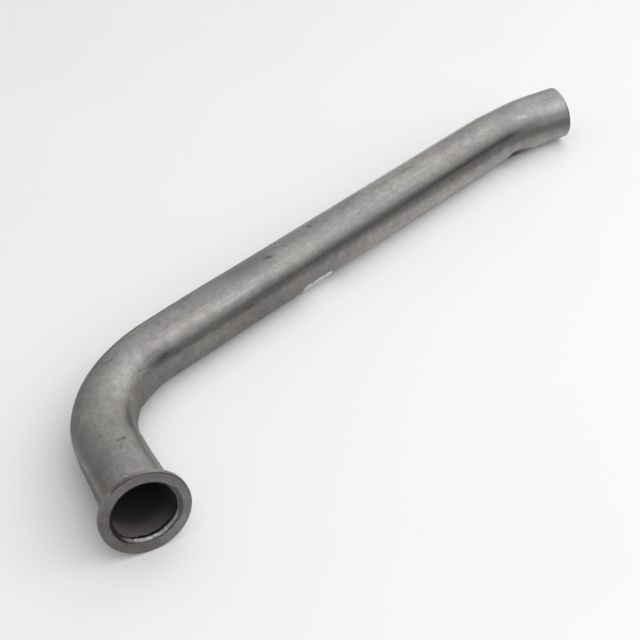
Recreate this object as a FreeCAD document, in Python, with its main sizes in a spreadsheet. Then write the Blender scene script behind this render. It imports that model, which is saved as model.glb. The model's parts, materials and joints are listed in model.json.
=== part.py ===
"""Exhaust downpipe: a bent steel tube with a slip-on flange ring welded to its inlet end.

Each piece is drawn in the pipe's own frame: the flange's sealing face is the XZ plane with its
centre at the origin, the gas runs along +Y through the stub, and both bends lie in the XY plane.
The finished pieces are then turned so that the long run lies along +X, and tipped until the
flange's rim and the long run both lie on the floor at Z = 0.
"""
import FreeCAD
import Part
import Sketcher
import math
import os

from FreeCAD import Placement, Rotation, Vector

# Driving dimensions, millimetres and degrees.
SIZES = (
    ("tube_outside", 50.8, "outside diameter of the tube"),
    ("tube_wall", 1.6, "wall of the tube"),
    ("stub_length", 80.0, "flange face to the start of the elbow"),
    ("elbow_radius", 110.0, "centre-line radius of the elbow"),
    ("elbow_angle", 71.0, "turn of the elbow"),
    ("run_length", 415.0, "straight run between the two bends"),
    ("kick_radius", 190.0, "centre-line radius of the second bend"),
    ("kick_angle", 21.0, "turn of the second bend"),
    ("tail_length", 21.0, "straight tail after the second bend"),
    ("tail_edge_break", 0.4, "chamfer round the cut end of the tail"),
    ("ring_outside", 67.8, "outside diameter of the flange ring"),
    ("ring_thickness", 4.0, "thickness of the flange ring"),
    ("ring_front_round", 0.8, "rounding of the ring's front outer edge"),
    ("ring_back_break", 0.4, "chamfer of the ring's back outer edge"),
    ("ring_bore_break", 0.5, "chamfer where the ring's bore meets its face"),
    ("slip_clearance", 0.1, "radial clearance of the tube in the ring"),
    ("tube_recess", 2.6, "tube end behind the flange face"),
    ("bead_lip", 1.0, "top of the weld bead behind the flange face"),
    ("bead_toe", 2.0, "reach of the weld bead down the tube's inside wall"),
    ("bead_cover", 0.3, "weld metal over the tube's inner corner"),
    ("label_length", 36.5, "label along the run"),
    ("label_start", 142.0, "end of the elbow to the label"),
    ("label_top_angle", 19.0, "label's upper edge below the horizontal"),
    ("label_wrap_angle", 53.0, "angle of the run that the label wraps"),
    ("label_thickness", 0.15, "thickness of the label"),
)

doc = FreeCAD.newDocument("downpipe")
sheet = doc.addObject("Spreadsheet::Sheet", "dims")
for row, (alias, value, note) in enumerate(SIZES, start=1):
    sheet.set(f"A{row}", note)
    sheet.set(f"B{row}", str(value))
    sheet.setAlias(f"B{row}", alias)
doc.recompute()


def size(alias):
    """Value of a named cell of the sheet."""
    return float(sheet.get(alias))


def origin_plane(body, role):
    """Origin plane of a body, by its role."""
    return next(item for item in body.Origin.OriginFeatures if item.Role == role)


def new_body(label):
    """Empty body whose label names its file."""
    body = doc.addObject("PartDesign::Body", label)
    body.Label = label
    return body


def new_sketch(body, name, role):
    """Sketch on one of the body's own origin planes."""
    sketch = body.newObject("Sketcher::SketchObject", name)
    sketch.AttachmentSupport = (origin_plane(body, role), [""])
    sketch.MapMode = "FlatFace"
    return sketch


def drive(sketch, constraint, expression):
    """Add a sized constraint and bind it to the sheet."""
    index = sketch.addConstraint(constraint)
    sketch.setExpression(f"Constraints[{index}]", expression)


def circle_edges(shape, radius, y):
    """Names of the full circles of a radius that lie in the plane at y."""
    names = []
    for index, edge in enumerate(shape.Edges, start=1):
        if not isinstance(edge.Curve, Part.Circle):
            continue
        same_radius = abs(edge.Curve.Radius - radius) < 1e-4
        same_plane = abs(edge.BoundBox.YMin - y) < 1e-4 and abs(edge.BoundBox.YMax - y) < 1e-4
        if same_radius and same_plane:
            names.append(f"Edge{index}")
    return names


def centre_line():
    """Corner points of the centre line and the centres of its two bends."""
    start = Vector(0, size("tube_recess"), 0)
    elbow_in = Vector(0, size("stub_length"), 0)
    elbow = math.radians(size("elbow_angle"))
    kick = math.radians(size("kick_angle"))
    along = Vector(math.sin(elbow), math.cos(elbow), 0)
    across = Vector(math.cos(elbow), -math.sin(elbow), 0)
    elbow_centre = elbow_in + Vector(size("elbow_radius"), 0, 0)
    elbow_out = elbow_centre - across * size("elbow_radius")
    kick_in = elbow_out + along * size("run_length")
    kick_centre = kick_in + across * size("kick_radius")
    tail_way = Vector(math.sin(elbow + kick), math.cos(elbow + kick), 0)
    tail_across = Vector(math.cos(elbow + kick), -math.sin(elbow + kick), 0)
    kick_out = kick_centre - tail_across * size("kick_radius")
    end = kick_out + tail_way * size("tail_length")
    return start, elbow_in, elbow_centre, elbow_out, kick_in, kick_centre, kick_out, end


def clockwise_arc(centre, radius, heading, turn):
    """Arc travelled clockwise: its sketch end is where the path enters it."""
    circle = Part.Circle(centre, Vector(0, 0, 1), radius)
    entry = math.pi - heading
    return Part.ArcOfCircle(circle, entry - turn, entry)


def make_tube():
    """Tube swept along a stub, an elbow, a long run, a gentle kick and a short tail."""
    body = new_body("downpipe_tube")
    start, elbow_in, elbow_centre, elbow_out, kick_in, kick_centre, kick_out, end = centre_line()
    elbow = math.radians(size("elbow_angle"))
    kick = math.radians(size("kick_angle"))

    path = new_sketch(body, "tube_centre_line", "XY_Plane")
    stub = path.addGeometry(Part.LineSegment(start, elbow_in))
    elbow_arc = path.addGeometry(clockwise_arc(elbow_centre, size("elbow_radius"), 0, elbow))
    run = path.addGeometry(Part.LineSegment(elbow_out, kick_in))
    kick_arc = path.addGeometry(clockwise_arc(kick_centre, size("kick_radius"), elbow, kick))
    tail = path.addGeometry(Part.LineSegment(kick_out, end))
    path.addConstraint(Sketcher.Constraint("PointOnObject", stub, 1, -2))
    path.addConstraint(Sketcher.Constraint("Vertical", stub))
    path.addConstraint(Sketcher.Constraint("Tangent", stub, 2, elbow_arc, 2))
    path.addConstraint(Sketcher.Constraint("Tangent", elbow_arc, 1, run, 1))
    path.addConstraint(Sketcher.Constraint("Tangent", run, 2, kick_arc, 2))
    path.addConstraint(Sketcher.Constraint("Tangent", kick_arc, 1, tail, 1))
    drive(path, Sketcher.Constraint("DistanceY", -1, 1, stub, 1, start.y), "dims.tube_recess")
    drive(path, Sketcher.Constraint("DistanceY", -1, 1, stub, 2, elbow_in.y), "dims.stub_length")
    drive(path, Sketcher.Constraint("Radius", elbow_arc, size("elbow_radius")), "dims.elbow_radius")
    drive(path, Sketcher.Constraint("Angle", elbow_arc, elbow), "dims.elbow_angle * 1 deg")
    drive(path, Sketcher.Constraint("Distance", run, size("run_length")), "dims.run_length")
    drive(path, Sketcher.Constraint("Radius", kick_arc, size("kick_radius")), "dims.kick_radius")
    drive(path, Sketcher.Constraint("Angle", kick_arc, kick), "dims.kick_angle * 1 deg")
    drive(path, Sketcher.Constraint("Distance", tail, size("tail_length")), "dims.tail_length")

    section = new_sketch(body, "tube_section", "XZ_Plane")
    section.setExpression("AttachmentOffset.Base.z", "-dims.tube_recess")
    outside = size("tube_outside") / 2
    wall_lines = ((outside, "dims.tube_outside / 2"),
                  (outside - size("tube_wall"), "dims.tube_outside / 2 - dims.tube_wall"))
    for radius, expression in wall_lines:
        circle = section.addGeometry(Part.Circle(Vector(), Vector(0, 0, 1), radius))
        section.addConstraint(Sketcher.Constraint("Coincident", circle, 3, -1, 1))
        drive(section, Sketcher.Constraint("Radius", circle, radius), expression)
    doc.recompute()

    pipe = body.newObject("PartDesign::AdditivePipe", "bent_tube")
    pipe.Profile = section
    pipe.Spine = (path, [f"Edge{index}" for index in range(1, path.GeometryCount + 1)])
    pipe.Mode = "Standard"
    pipe.Transition = "Transformed"
    doc.recompute()

    rims = []
    for index, edge in enumerate(pipe.Shape.Edges, start=1):
        on_tail = abs(edge.CenterOfMass.distanceToPoint(end)) < 1e-3
        if on_tail and edge.Length > 2 * math.pi * (outside - size("tube_wall") / 2):
            rims.append(f"Edge{index}")
    cut_edge = body.newObject("PartDesign::Chamfer", "tail_edge")
    cut_edge.Base = (pipe, rims)
    cut_edge.setExpression("Size", "dims.tail_edge_break")
    return body


def make_ring():
    """Turned slip-on ring: a flat collar with a rounded front edge and a broken bore edge."""
    body = new_body("flange_ring")
    bore = size("tube_outside") / 2 + size("slip_clearance")
    rim = size("ring_outside") / 2
    back = size("ring_thickness")
    section = new_sketch(body, "ring_section", "XY_Plane")
    corners = (Vector(bore, 0, 0), Vector(rim, 0, 0), Vector(rim, back, 0), Vector(bore, back, 0))
    for index, corner in enumerate(corners):
        section.addGeometry(Part.LineSegment(corner, corners[(index + 1) % len(corners)]))
    for index in range(len(corners)):
        following = (index + 1) % len(corners)
        section.addConstraint(Sketcher.Constraint("Coincident", index, 2, following, 1))
    face, edge, rear, hole = range(len(corners))
    section.addConstraint(Sketcher.Constraint("PointOnObject", face, 1, -1))
    section.addConstraint(Sketcher.Constraint("Horizontal", face))
    section.addConstraint(Sketcher.Constraint("Vertical", edge))
    section.addConstraint(Sketcher.Constraint("Horizontal", rear))
    section.addConstraint(Sketcher.Constraint("Vertical", hole))
    drive(section, Sketcher.Constraint("DistanceX", -1, 1, face, 1, bore),
          "dims.tube_outside / 2 + dims.slip_clearance")
    drive(section, Sketcher.Constraint("DistanceX", -1, 1, face, 2, rim), "dims.ring_outside / 2")
    drive(section, Sketcher.Constraint("DistanceY", edge, 1, edge, 2, back), "dims.ring_thickness")
    doc.recompute()

    collar = body.newObject("PartDesign::Revolution", "collar")
    collar.Profile = section
    collar.ReferenceAxis = (section, ["V_Axis"])
    collar.Angle = 360
    doc.recompute()

    front_edge = body.newObject("PartDesign::Fillet", "front_edge")
    front_edge.Base = (collar, circle_edges(collar.Shape, rim, 0))
    front_edge.setExpression("Radius", "dims.ring_front_round")
    doc.recompute()

    back_edge = body.newObject("PartDesign::Chamfer", "back_edge")
    back_edge.Base = (front_edge, circle_edges(front_edge.Shape, rim, back))
    back_edge.setExpression("Size", "dims.ring_back_break")
    doc.recompute()

    bore_edge = body.newObject("PartDesign::Chamfer", "bore_edge")
    bore_edge.Base = (back_edge, circle_edges(back_edge.Shape, bore, 0))
    bore_edge.setExpression("Size", "dims.ring_bore_break")
    return body


def make_weld():
    """Inside weld: a bead from the ring's bore, over the tube's end, to its inside wall.

    Its free face is three flats in section. The middle one crosses the tube's inner corner and
    covers it by bead_cover both above the tube's end and inside its wall.
    """
    body = new_body("weld_bead")
    bore = size("tube_outside") / 2 + size("slip_clearance")
    inside = size("tube_outside") / 2 - size("tube_wall")
    seat = size("tube_recess")
    cover = size("bead_cover")
    corners = (
        Vector(bore, size("bead_lip"), 0),
        Vector(bore, seat, 0),
        Vector(inside, seat, 0),
        Vector(inside, seat + size("bead_toe"), 0),
        Vector(inside - cover, seat, 0),
        Vector(inside, seat - cover, 0),
    )
    section = new_sketch(body, "bead_section", "XY_Plane")
    for index, corner in enumerate(corners):
        section.addGeometry(Part.LineSegment(corner, corners[(index + 1) % len(corners)]))
    for index in range(len(corners)):
        following = (index + 1) % len(corners)
        section.addConstraint(Sketcher.Constraint("Coincident", index, 2, following, 1))
    on_bore, on_end, on_wall, toe_flat, crown_flat, lip_flat = range(len(corners))
    section.addConstraint(Sketcher.Constraint("Vertical", on_bore))
    section.addConstraint(Sketcher.Constraint("Horizontal", on_end))
    section.addConstraint(Sketcher.Constraint("Vertical", on_wall))
    drive(section, Sketcher.Constraint("DistanceX", -1, 1, on_bore, 1, bore),
          "dims.tube_outside / 2 + dims.slip_clearance")
    drive(section, Sketcher.Constraint("DistanceX", -1, 1, on_wall, 1, inside),
          "dims.tube_outside / 2 - dims.tube_wall")
    drive(section, Sketcher.Constraint("DistanceY", -1, 1, on_bore, 1, size("bead_lip")),
          "dims.bead_lip")
    drive(section, Sketcher.Constraint("DistanceY", -1, 1, on_end, 1, seat), "dims.tube_recess")
    drive(section, Sketcher.Constraint("DistanceY", on_wall, 1, on_wall, 2, size("bead_toe")),
          "dims.bead_toe")
    drive(section, Sketcher.Constraint("DistanceX", -1, 1, crown_flat, 1, inside - cover),
          "dims.tube_outside / 2 - dims.tube_wall - dims.bead_cover")
    drive(section, Sketcher.Constraint("DistanceY", -1, 1, crown_flat, 1, seat), "dims.tube_recess")
    drive(section, Sketcher.Constraint("DistanceX", -1, 1, lip_flat, 1, inside),
          "dims.tube_outside / 2 - dims.tube_wall")
    drive(section, Sketcher.Constraint("DistanceY", -1, 1, lip_flat, 1, seat - cover),
          "dims.tube_recess - dims.bead_cover")
    doc.recompute()

    bead = body.newObject("PartDesign::Revolution", "bead")
    bead.Profile = section
    bead.ReferenceAxis = (section, ["V_Axis"])
    bead.Angle = 360
    return body


def make_label():
    """Blank label wrapped on the side of the long run, drawn with the run along its own X and
    its upper edge level with the run's axis, on the -Y side."""
    body = new_body("blank_label")
    inner = size("tube_outside") / 2
    outer = inner + size("label_thickness")
    upper = math.pi
    lower = upper + math.radians(size("label_wrap_angle"))

    def on_circle(radius, angle):
        return Vector(radius * math.cos(angle), radius * math.sin(angle), 0)

    section = new_sketch(body, "label_section", "YZ_Plane")
    flat = Vector(0, 0, 1)
    glued = section.addGeometry(Part.ArcOfCircle(Part.Circle(Vector(), flat, inner), upper, lower))
    shown = section.addGeometry(Part.ArcOfCircle(Part.Circle(Vector(), flat, outer), upper, lower))
    top = section.addGeometry(Part.LineSegment(on_circle(inner, upper), on_circle(outer, upper)))
    bottom = section.addGeometry(Part.LineSegment(on_circle(inner, lower), on_circle(outer, lower)))
    for arc in (glued, shown):
        section.addConstraint(Sketcher.Constraint("Coincident", arc, 3, -1, 1))
    for line, end in ((top, 1), (bottom, 2)):
        section.addConstraint(Sketcher.Constraint("Coincident", line, 1, glued, end))
        section.addConstraint(Sketcher.Constraint("Coincident", line, 2, shown, end))
    section.addConstraint(Sketcher.Constraint("PointOnObject", top, 1, -1))
    section.addConstraint(Sketcher.Constraint("Horizontal", top))
    section.addConstraint(Sketcher.Constraint("PointOnObject", -1, 1, bottom))
    drive(section, Sketcher.Constraint("Radius", glued, inner), "dims.tube_outside / 2")
    drive(section, Sketcher.Constraint("Radius", shown, outer),
          "dims.tube_outside / 2 + dims.label_thickness")
    drive(section, Sketcher.Constraint("Angle", glued, lower - upper), "dims.label_wrap_angle * 1 deg")
    doc.recompute()

    patch = body.newObject("PartDesign::Pad", "patch")
    patch.Profile = section
    patch.setExpression("Length", "dims.label_length")
    return body


def resting_turn():
    """Turn that lays the long run along +X and lets the flange's rim down onto the same floor.

    With the run's axis level at the tube's radius r above the floor, the ring's rear rim, of
    radius R, stands off the run by D in the bend plane and tips up with it by an angle of sine u:
    r + D u = R sqrt(1 - (u sin elbow)^2), a quadratic in u.
    """
    elbow = math.radians(size("elbow_angle"))
    tube = size("tube_outside") / 2
    rim = size("ring_outside") / 2
    contact = size("ring_thickness") - size("ring_back_break")
    reach = (size("stub_length") - contact) * math.sin(elbow) \
        + size("elbow_radius") * (1 - math.cos(elbow))
    square = reach ** 2 + (rim * math.sin(elbow)) ** 2
    tip = (math.sqrt((reach * tube) ** 2 - square * (tube ** 2 - rim ** 2)) - reach * tube) / square
    run_along_x = Rotation(Vector(0, 0, 1), size("elbow_angle") - 90)
    lay_down = Rotation(Vector(1, 0, 0), -math.degrees(math.asin(tip)))
    return lay_down.multiply(run_along_x)


tube = make_tube()
ring = make_ring()
weld = make_weld()
label = make_label()
doc.recompute()

pipe_pieces = (tube, ring, weld)
turn = resting_turn()
for piece in pipe_pieces:
    piece.Placement = Placement(Vector(), turn)
doc.recompute()

# The floor's centre under the pipe becomes the origin.
box = FreeCAD.BoundBox()
for piece in pipe_pieces:
    box.add(piece.Shape.optimalBoundingBox(False, False))
to_floor = Vector(-box.Center.x, -box.Center.y, -box.ZMin)
for piece in pipe_pieces:
    piece.Placement = Placement(to_floor, turn)

run_start = to_floor + turn.multVec(centre_line()[3])
label_edge = run_start + Vector(size("label_start"), 0, 0)
label.Placement = Placement(label_edge, Rotation(Vector(1, 0, 0), size("label_top_angle")))
doc.recompute()

pieces = pipe_pieces + (label,)
for item in doc.Objects:
    if "Invalid" in item.State or "Error" in item.State:
        raise RuntimeError(f"{item.Label} did not build: {item.State}")
for piece in pieces:
    if piece.Shape.isNull() or not piece.Shape.isValid():
        raise RuntimeError(f"{piece.Label} has no valid shape")

os.makedirs("parts", exist_ok=True)
for piece in pieces:
    piece.Shape.exportStep(f"parts/{piece.Label}.step")
    print(piece.Label, len(piece.Shape.Solids), "solid,", round(piece.Shape.Volume), "mm3")
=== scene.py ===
"""Dressed surfaces of the exhaust downpipe, laid out as a Blender add-on and run as a script.

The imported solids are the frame. Each surface is a function of two parameters worked out on a
grid with numpy, in metres and in the frame of the solids.
"""

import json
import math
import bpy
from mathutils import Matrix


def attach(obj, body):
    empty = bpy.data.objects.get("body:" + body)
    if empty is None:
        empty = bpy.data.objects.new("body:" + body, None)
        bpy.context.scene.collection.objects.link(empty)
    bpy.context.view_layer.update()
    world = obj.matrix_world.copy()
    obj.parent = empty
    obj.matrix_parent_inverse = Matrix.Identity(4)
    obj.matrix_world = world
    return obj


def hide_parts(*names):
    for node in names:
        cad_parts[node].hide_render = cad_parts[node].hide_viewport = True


bl_info = {
    "name": "Exhaust downpipe",
    "version": (1, 0, 0),
    "blender": (4, 5, 0),
    "location": "3D View > Sidebar > Downpipe",
    "description": "Bent steel tube with its flange ring, inside weld and bare label",
    "category": "Add Mesh",
}

import bpy
import numpy as np
from bpy.props import FloatProperty, FloatVectorProperty, PointerProperty
from mathutils import Matrix, Vector

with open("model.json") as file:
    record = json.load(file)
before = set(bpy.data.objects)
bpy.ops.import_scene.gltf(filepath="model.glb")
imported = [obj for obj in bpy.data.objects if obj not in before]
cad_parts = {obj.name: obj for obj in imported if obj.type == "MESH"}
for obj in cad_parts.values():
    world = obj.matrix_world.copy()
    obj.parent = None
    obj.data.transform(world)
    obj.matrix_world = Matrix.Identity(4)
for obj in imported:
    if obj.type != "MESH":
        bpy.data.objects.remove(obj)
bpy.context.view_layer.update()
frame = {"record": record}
MOUNTS = {mount["name"]: mount for mount in frame["record"]["mounts"]}

MM = 0.001

# The flange's frame: the gas runs inwards along GAS, UP is square to both bends, SIDE points to
# the outside of the bends, and FACE is the centre of the sealing face, ahead of the middle of
# the rim.
RIM_MIDDLE = 2.2 * MM
RUN = np.array([1.0, 0.0, 0.0])
GAS = -np.array(MOUNTS["flange_face"]["axis"])
UP = np.cross(RUN, GAS)
UP /= np.linalg.norm(UP)
LEFT = np.cross(UP, RUN)
SIDE = np.cross(UP, GAS)
FACE = np.array(MOUNTS["flange_rim"]["pos_m"]) - RIM_MIDDLE * GAS

# Marks on the tube: distance from the flange face and place round it (0 the outside of the
# bends, 90 the top), length, slant from the pipe's own line, width and strength. Millimetres
# and degrees.
SCRATCHES = (
    (218, 164, 0.5, 0, 1.2, 1),
    (217, 161.5, 5, 72, 0.6, 0.3),
    (220.5, 164.5, 4.5, 78, 0.5, 0.25),
    (171, 148, 13, 18, 0.6, 0.5),
    (184.8, 155.5, 13, 9, 0.65, 0.6),
    (190, 141, 9, 2, 0.6, 0.3),
    (198, 142.5, 8, 10, 0.6, 0.3),
    (160.5, 86, 8.5, 30, 0.75, 0.7),
    (145.5, 75, 2, 20, 0.8, 0.3),
    (58, 104.5, 7, 62, 1, 0.75),
    (57.7, 110, 4, 30, 1.2, 0.75),
    (56.5, 105, 2, 30, 1.5, 0.4),
    (49.5, 98.5, 6, 15, 1.3, 0.3),
    (31.5, 100, 1, 0, 0.9, 0.35),
    (17, 83, 5, 140, 0.8, 0.3),
    (83, 103, 6, 30, 1, 0.25),
    (242, 88, 3, 10, 0.8, 0.4),
    (248.5, 115, 0.6, 0, 0.8, 0.4),
    (295.5, 166, 2.5, 10, 1, 0.45),
    (300, 168, 2, 10, 0.8, 0.3),
    (336, 100, 2.5, 16, 0.9, 0.55),
    (339.5, 102.3, 3.5, 14, 1.2, 0.9),
    (342.5, 104, 1.5, 20, 0.9, 0.7),
    (353, 88, 1.5, 30, 0.9, 0.65),
    (356.5, 93, 9, 33, 1, 0.3),
    (360, 98.5, 2, 25, 0.9, 0.6),
    (341.5, 129, 0.6, 0, 0.8, 0.35),
    (441, 126, 0.8, 0, 0.8, 0.6),
    (395, 88, 2.5, 5, 1.1, 0.9),
    (404, 86, 2.5, 5, 1.1, 0.7),
    (518, 94, 16, 11, 0.7, 0.45),
    (559.8, 136, 8, 82, 0.6, 0.5),
    (598.5, 152, 2.5, 70, 0.8, 0.35),
)
DULL_PATCHES = (
    (83, 103, 13, 3, 5, 0.25),
    (49, 69, 18, 170, 9, 0.3),
    (66, 66, 26, 172, 10, 0.26),
    (350, 97, 22, 10, 5, 0.25),
    (200, 158, 24, 5, 6, 0.16),
    (321, 95, 36, 0, 11, 0.6),
    (330, 96, 160, 0, 9, 0.2),
    (500, 95, 50, 3, 0.9, 0.6),
)
# Some bright patches are painted highlights. The two on the upper inner side of the stub and the elbow
# (at 42 and 102 mm) and the one under the tail (at 702 mm) lift the dark that the steel mirrors from
# the shadowed floor beside and under the pipe.
BRIGHT_PATCHES = (
    (667, 131.5, 9, 12, 2, 0.6),
    (292, 138, 34, 0, 1.3, 0.5),
    (702, 221, 30, 0, 9, 0.9),
    (657, 156, 16, 0, 5, 0.3),
    (712, 165, 14, 0, 13, 0.3),
    (702, 100, 40, 0, 14, 0.18),
    (42, 143, 56, 0, 6, 0.85),
    (102, 156, 56, 0, 6, 0.75),
    (515, 76, 90, 0, 7, 0.3),
    (237, 175, 24, 14, 1.5, 0.25),
    (570.5, 183, 6, 40, 1.6, 0.4),
    (461, 180, 16, 2, 1.6, 0.2),
)
BROWN_STAINS = (
    (294.5, 167, 9, 0, 2.6, 0.5),
    (548, 191, 2, 0, 1.8, 0.6),
    (300, 178, 40, 3, 6, 0.2),
    (560, 182, 50, 0, 5, 0.25),
    (25, 30, 30, 0, 14, 0.25),
    (120, 172, 60, 0, 9, 0.25),
    (430, 190, 330, 0, 11, 0.13),
)

# Broad glows of the room that the steel mirrors: direction, sharpness and amount. The last one
# takes light away.
ROOM_GLOWS = (
    ((0.098, -0.506, 0.857), 9.8, 1.05),
    ((0.808, 0.061, 0.586), 10.7, 0.66),
    ((0.41, 0.709, 0.574), 6.1, 0.17),
    ((0.612, -0.784, 0.105), 30.0, -0.52),
)

# The rest of the room: the way to its paler right side, its grey high up, its darkest grey, the
# backdrop that only the camera sees, and the camera's sensor in millimetres.
ROOM_RIGHT = (0.94, -0.34, 0.0)
ROOM_HIGH = 0.36
ROOM_LEAST = 0.03
BACKDROP = (0.86, 0.86, 0.86)
SENSOR_WIDTH = 36.0

# The floor: the way from the run to the camera, and the run's place across it.
FLOOR_FRONT = (0.37, -0.93, 0.0)
RUN_Y = 0.066

# Swellings (+) and dents (-) of the bent wall: distance from the flange face, place round the
# tube, reach along it, spread round it and height. Millimetres and degrees.
WALL_FORMS = (
    (88, 0, 8, 40, -0.7),
    (110, 0, 9, 40, 0.25),
    (180, 43, 34, 30, -0.45),
    (127, 212, 7, 26, 0.2),
    (151, 216, 10, 26, -0.75),
    (181, 210, 8, 30, 0.4),
    (203, 206, 8, 28, -0.2),
    (268, 54, 40, 32, 0.4),
    (655, 57, 15, 32, -0.6),
    (651, 226, 8, 20, -0.75),
    (690, 236, 15, 30, 0.4),
)

# Height of each of the low random waves in the wall.
WAVE_HEIGHT = 0.015 * MM

# Painted shade in the pinch under the second bend, near black where its dent turns from the light:
# where it starts along the tube in millimetres, its upper edge in degrees, and its strength.
PINCH_START = 646.0
PINCH_EDGE = 203.0
PINCH_SHADE_STRENGTH = 0.95

# Lumps of the weld: place round the flange, height and spread. Millimetres and degrees.
WELD_LUMPS = (
    (230, 0.45, 2.4),
    (236, 0.35, 2),
    (266, 0.35, 3.5),
    (278, 0.3, 3),
    (297, 0.25, 2.4),
)

# Stretches round the flange, in degrees from the outside of the bends: where each starts, is
# full, begins to fade and is gone.
BROWN_RIM = (55, 58, 76, 112)
# Painted dark reflection along the front edge:
DARK_EDGE_LINE = (52, 57, 178, 205)
# Painted shadow in the corner round the bore:
CREVICE_SHADE = (142, 160, 212, 228)
# Stretch that the painted shade over the bore leaves light:
LIT_BORE = (140, 160, 298, 322)
LIVE_WELD = (150, 200, 306, 334)
THICK_WELD = (212, 238, 292, 322)
# Stretch of the weld that its painted shade leaves light:
LIT_WELD = (138, 156, 306, 334)

# Steps of the tube's grid, fine and coarse: along it, where it is fine a margin in millimetres
# round each scratch, and round it in degrees, where it is fine on the side seen from above.
LENGTH_STEPS = (0.75 * MM, 2.1 * MM)
MARK_MARGIN = 1.5
TURN_STEPS = (1.7, 4.0)
FINE_TURNS = (72.0, 236.0)

# Break of the tube's inner edge at the cut, and how deep the weld's edges sit in the steel.
INNER_BREAK = 0.25 * MM
BURIED = 0.06 * MM

# Tool lines to the metre: along the tube and across it, and over the ring's section and round it.
DRAWN_LINES = (7.0, 460.0, 460.0)
TURNED_LINES = (1500.0, 14.0, 14.0)


class TubeSettings(bpy.types.PropertyGroup):
    """Sizes and colours of the bent tube."""

    outside: FloatProperty(name="Outside radius", description="Outside radius of the tube",
                           default=25.4 * MM, unit="LENGTH", precision=4)
    wall: FloatProperty(name="Wall", description="Thickness of the tube's wall",
                        default=1.6 * MM, unit="LENGTH", precision=4)
    recess: FloatProperty(name="Recess", description="Tube end behind the flange face",
                          default=2.6 * MM, unit="LENGTH", precision=4)
    stub: FloatProperty(name="Stub", description="Flange face to the start of the elbow",
                        default=80.0 * MM, unit="LENGTH", precision=4)
    elbow_radius: FloatProperty(name="Elbow radius", description="Centre-line radius of the elbow",
                                default=110.0 * MM, unit="LENGTH", precision=4)
    elbow_angle: FloatProperty(name="Elbow angle", description="Turn of the elbow",
                               default=math.radians(71.0), subtype="ANGLE")
    run: FloatProperty(name="Run", description="Straight run between the bends",
                       default=415.0 * MM, unit="LENGTH", precision=4)
    kick_radius: FloatProperty(name="Kick radius", description="Centre-line radius of the second bend",
                               default=190.0 * MM, unit="LENGTH", precision=4)
    kick_angle: FloatProperty(name="Kick angle", description="Turn of the second bend",
                              default=math.radians(21.0), subtype="ANGLE")
    tail: FloatProperty(name="Tail", description="Straight tail after the second bend",
                        default=21.0 * MM, unit="LENGTH", precision=4)
    edge_break: FloatProperty(name="Cut edge", description="Chamfer round the cut end",
                              default=0.4 * MM, unit="LENGTH", precision=5)
    swelling: FloatProperty(name="Swelling", description="Growth of the tube's end near the flange",
                            default=0.65 * MM, unit="LENGTH", precision=5)
    steel: FloatVectorProperty(name="Steel", description="Colour of the clean drawn steel",
                               subtype="COLOR", min=0.0, max=1.0, default=(0.49, 0.475, 0.452))
    dull: FloatVectorProperty(name="Dull steel", description="Colour of the duller cloudy patches",
                              subtype="COLOR", min=0.0, max=1.0, default=(0.43, 0.419, 0.425))
    soot: FloatVectorProperty(name="Soot", description="Colour of the sooty inside wall",
                              subtype="COLOR", min=0.0, max=1.0, default=(0.065, 0.063, 0.063))


class RingSettings(bpy.types.PropertyGroup):
    """Sizes and colours of the turned flange ring."""

    bore: FloatProperty(name="Bore radius", description="Radius of the ring's bore",
                        default=25.5 * MM, unit="LENGTH", precision=4)
    rim: FloatProperty(name="Rim radius", description="Outside radius of the ring",
                       default=33.9 * MM, unit="LENGTH", precision=4)
    thickness: FloatProperty(name="Thickness", description="Thickness of the ring",
                             default=4.0 * MM, unit="LENGTH", precision=4)
    front_round: FloatProperty(name="Front edge", description="Rounding of the front outer edge",
                               default=0.8 * MM, unit="LENGTH", precision=5)
    back_break: FloatProperty(name="Back edge", description="Chamfer of the back outer edge",
                              default=0.4 * MM, unit="LENGTH", precision=5)
    bore_break: FloatProperty(name="Bore edge", description="Chamfer of the bore at the face",
                              default=0.5 * MM, unit="LENGTH", precision=5)
    steel: FloatVectorProperty(name="Face", description="Colour of the turned face",
                               subtype="COLOR", min=0.0, max=1.0, default=(0.51, 0.486, 0.49))
    tarnish: FloatVectorProperty(name="Tarnish", description="Colour of the brown tarnish",
                                 subtype="COLOR", min=0.0, max=1.0, default=(0.2, 0.17, 0.15))


class WeldSettings(bpy.types.PropertyGroup):
    """Sizes and colours of the inside weld."""

    lip: FloatProperty(name="Lip", description="Top of the bead behind the flange face",
                       default=1.0 * MM, unit="LENGTH", precision=5)
    toe: FloatProperty(name="Toe", description="Reach of the bead down the tube's inside wall",
                       default=2.0 * MM, unit="LENGTH", precision=5)
    cover: FloatProperty(name="Cover", description="Metal over the tube's inner corner",
                         default=0.3 * MM, unit="LENGTH", precision=5)
    pitch: FloatProperty(name="Ripple pitch", description="Distance from ripple to ripple",
                         default=1.9 * MM, unit="LENGTH", precision=5)
    ripple: FloatProperty(name="Ripple height", description="Height of each ripple",
                          default=0.16 * MM, unit="LENGTH", precision=5)
    metal: FloatVectorProperty(name="Metal", description="Colour of the bright weld metal",
                               subtype="COLOR", min=0.0, max=1.0, default=(0.64, 0.625, 0.615))
    toes: FloatVectorProperty(name="Toes", description="Colour of the burnt edges",
                              subtype="COLOR", min=0.0, max=1.0, default=(0.075, 0.068, 0.064))


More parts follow.
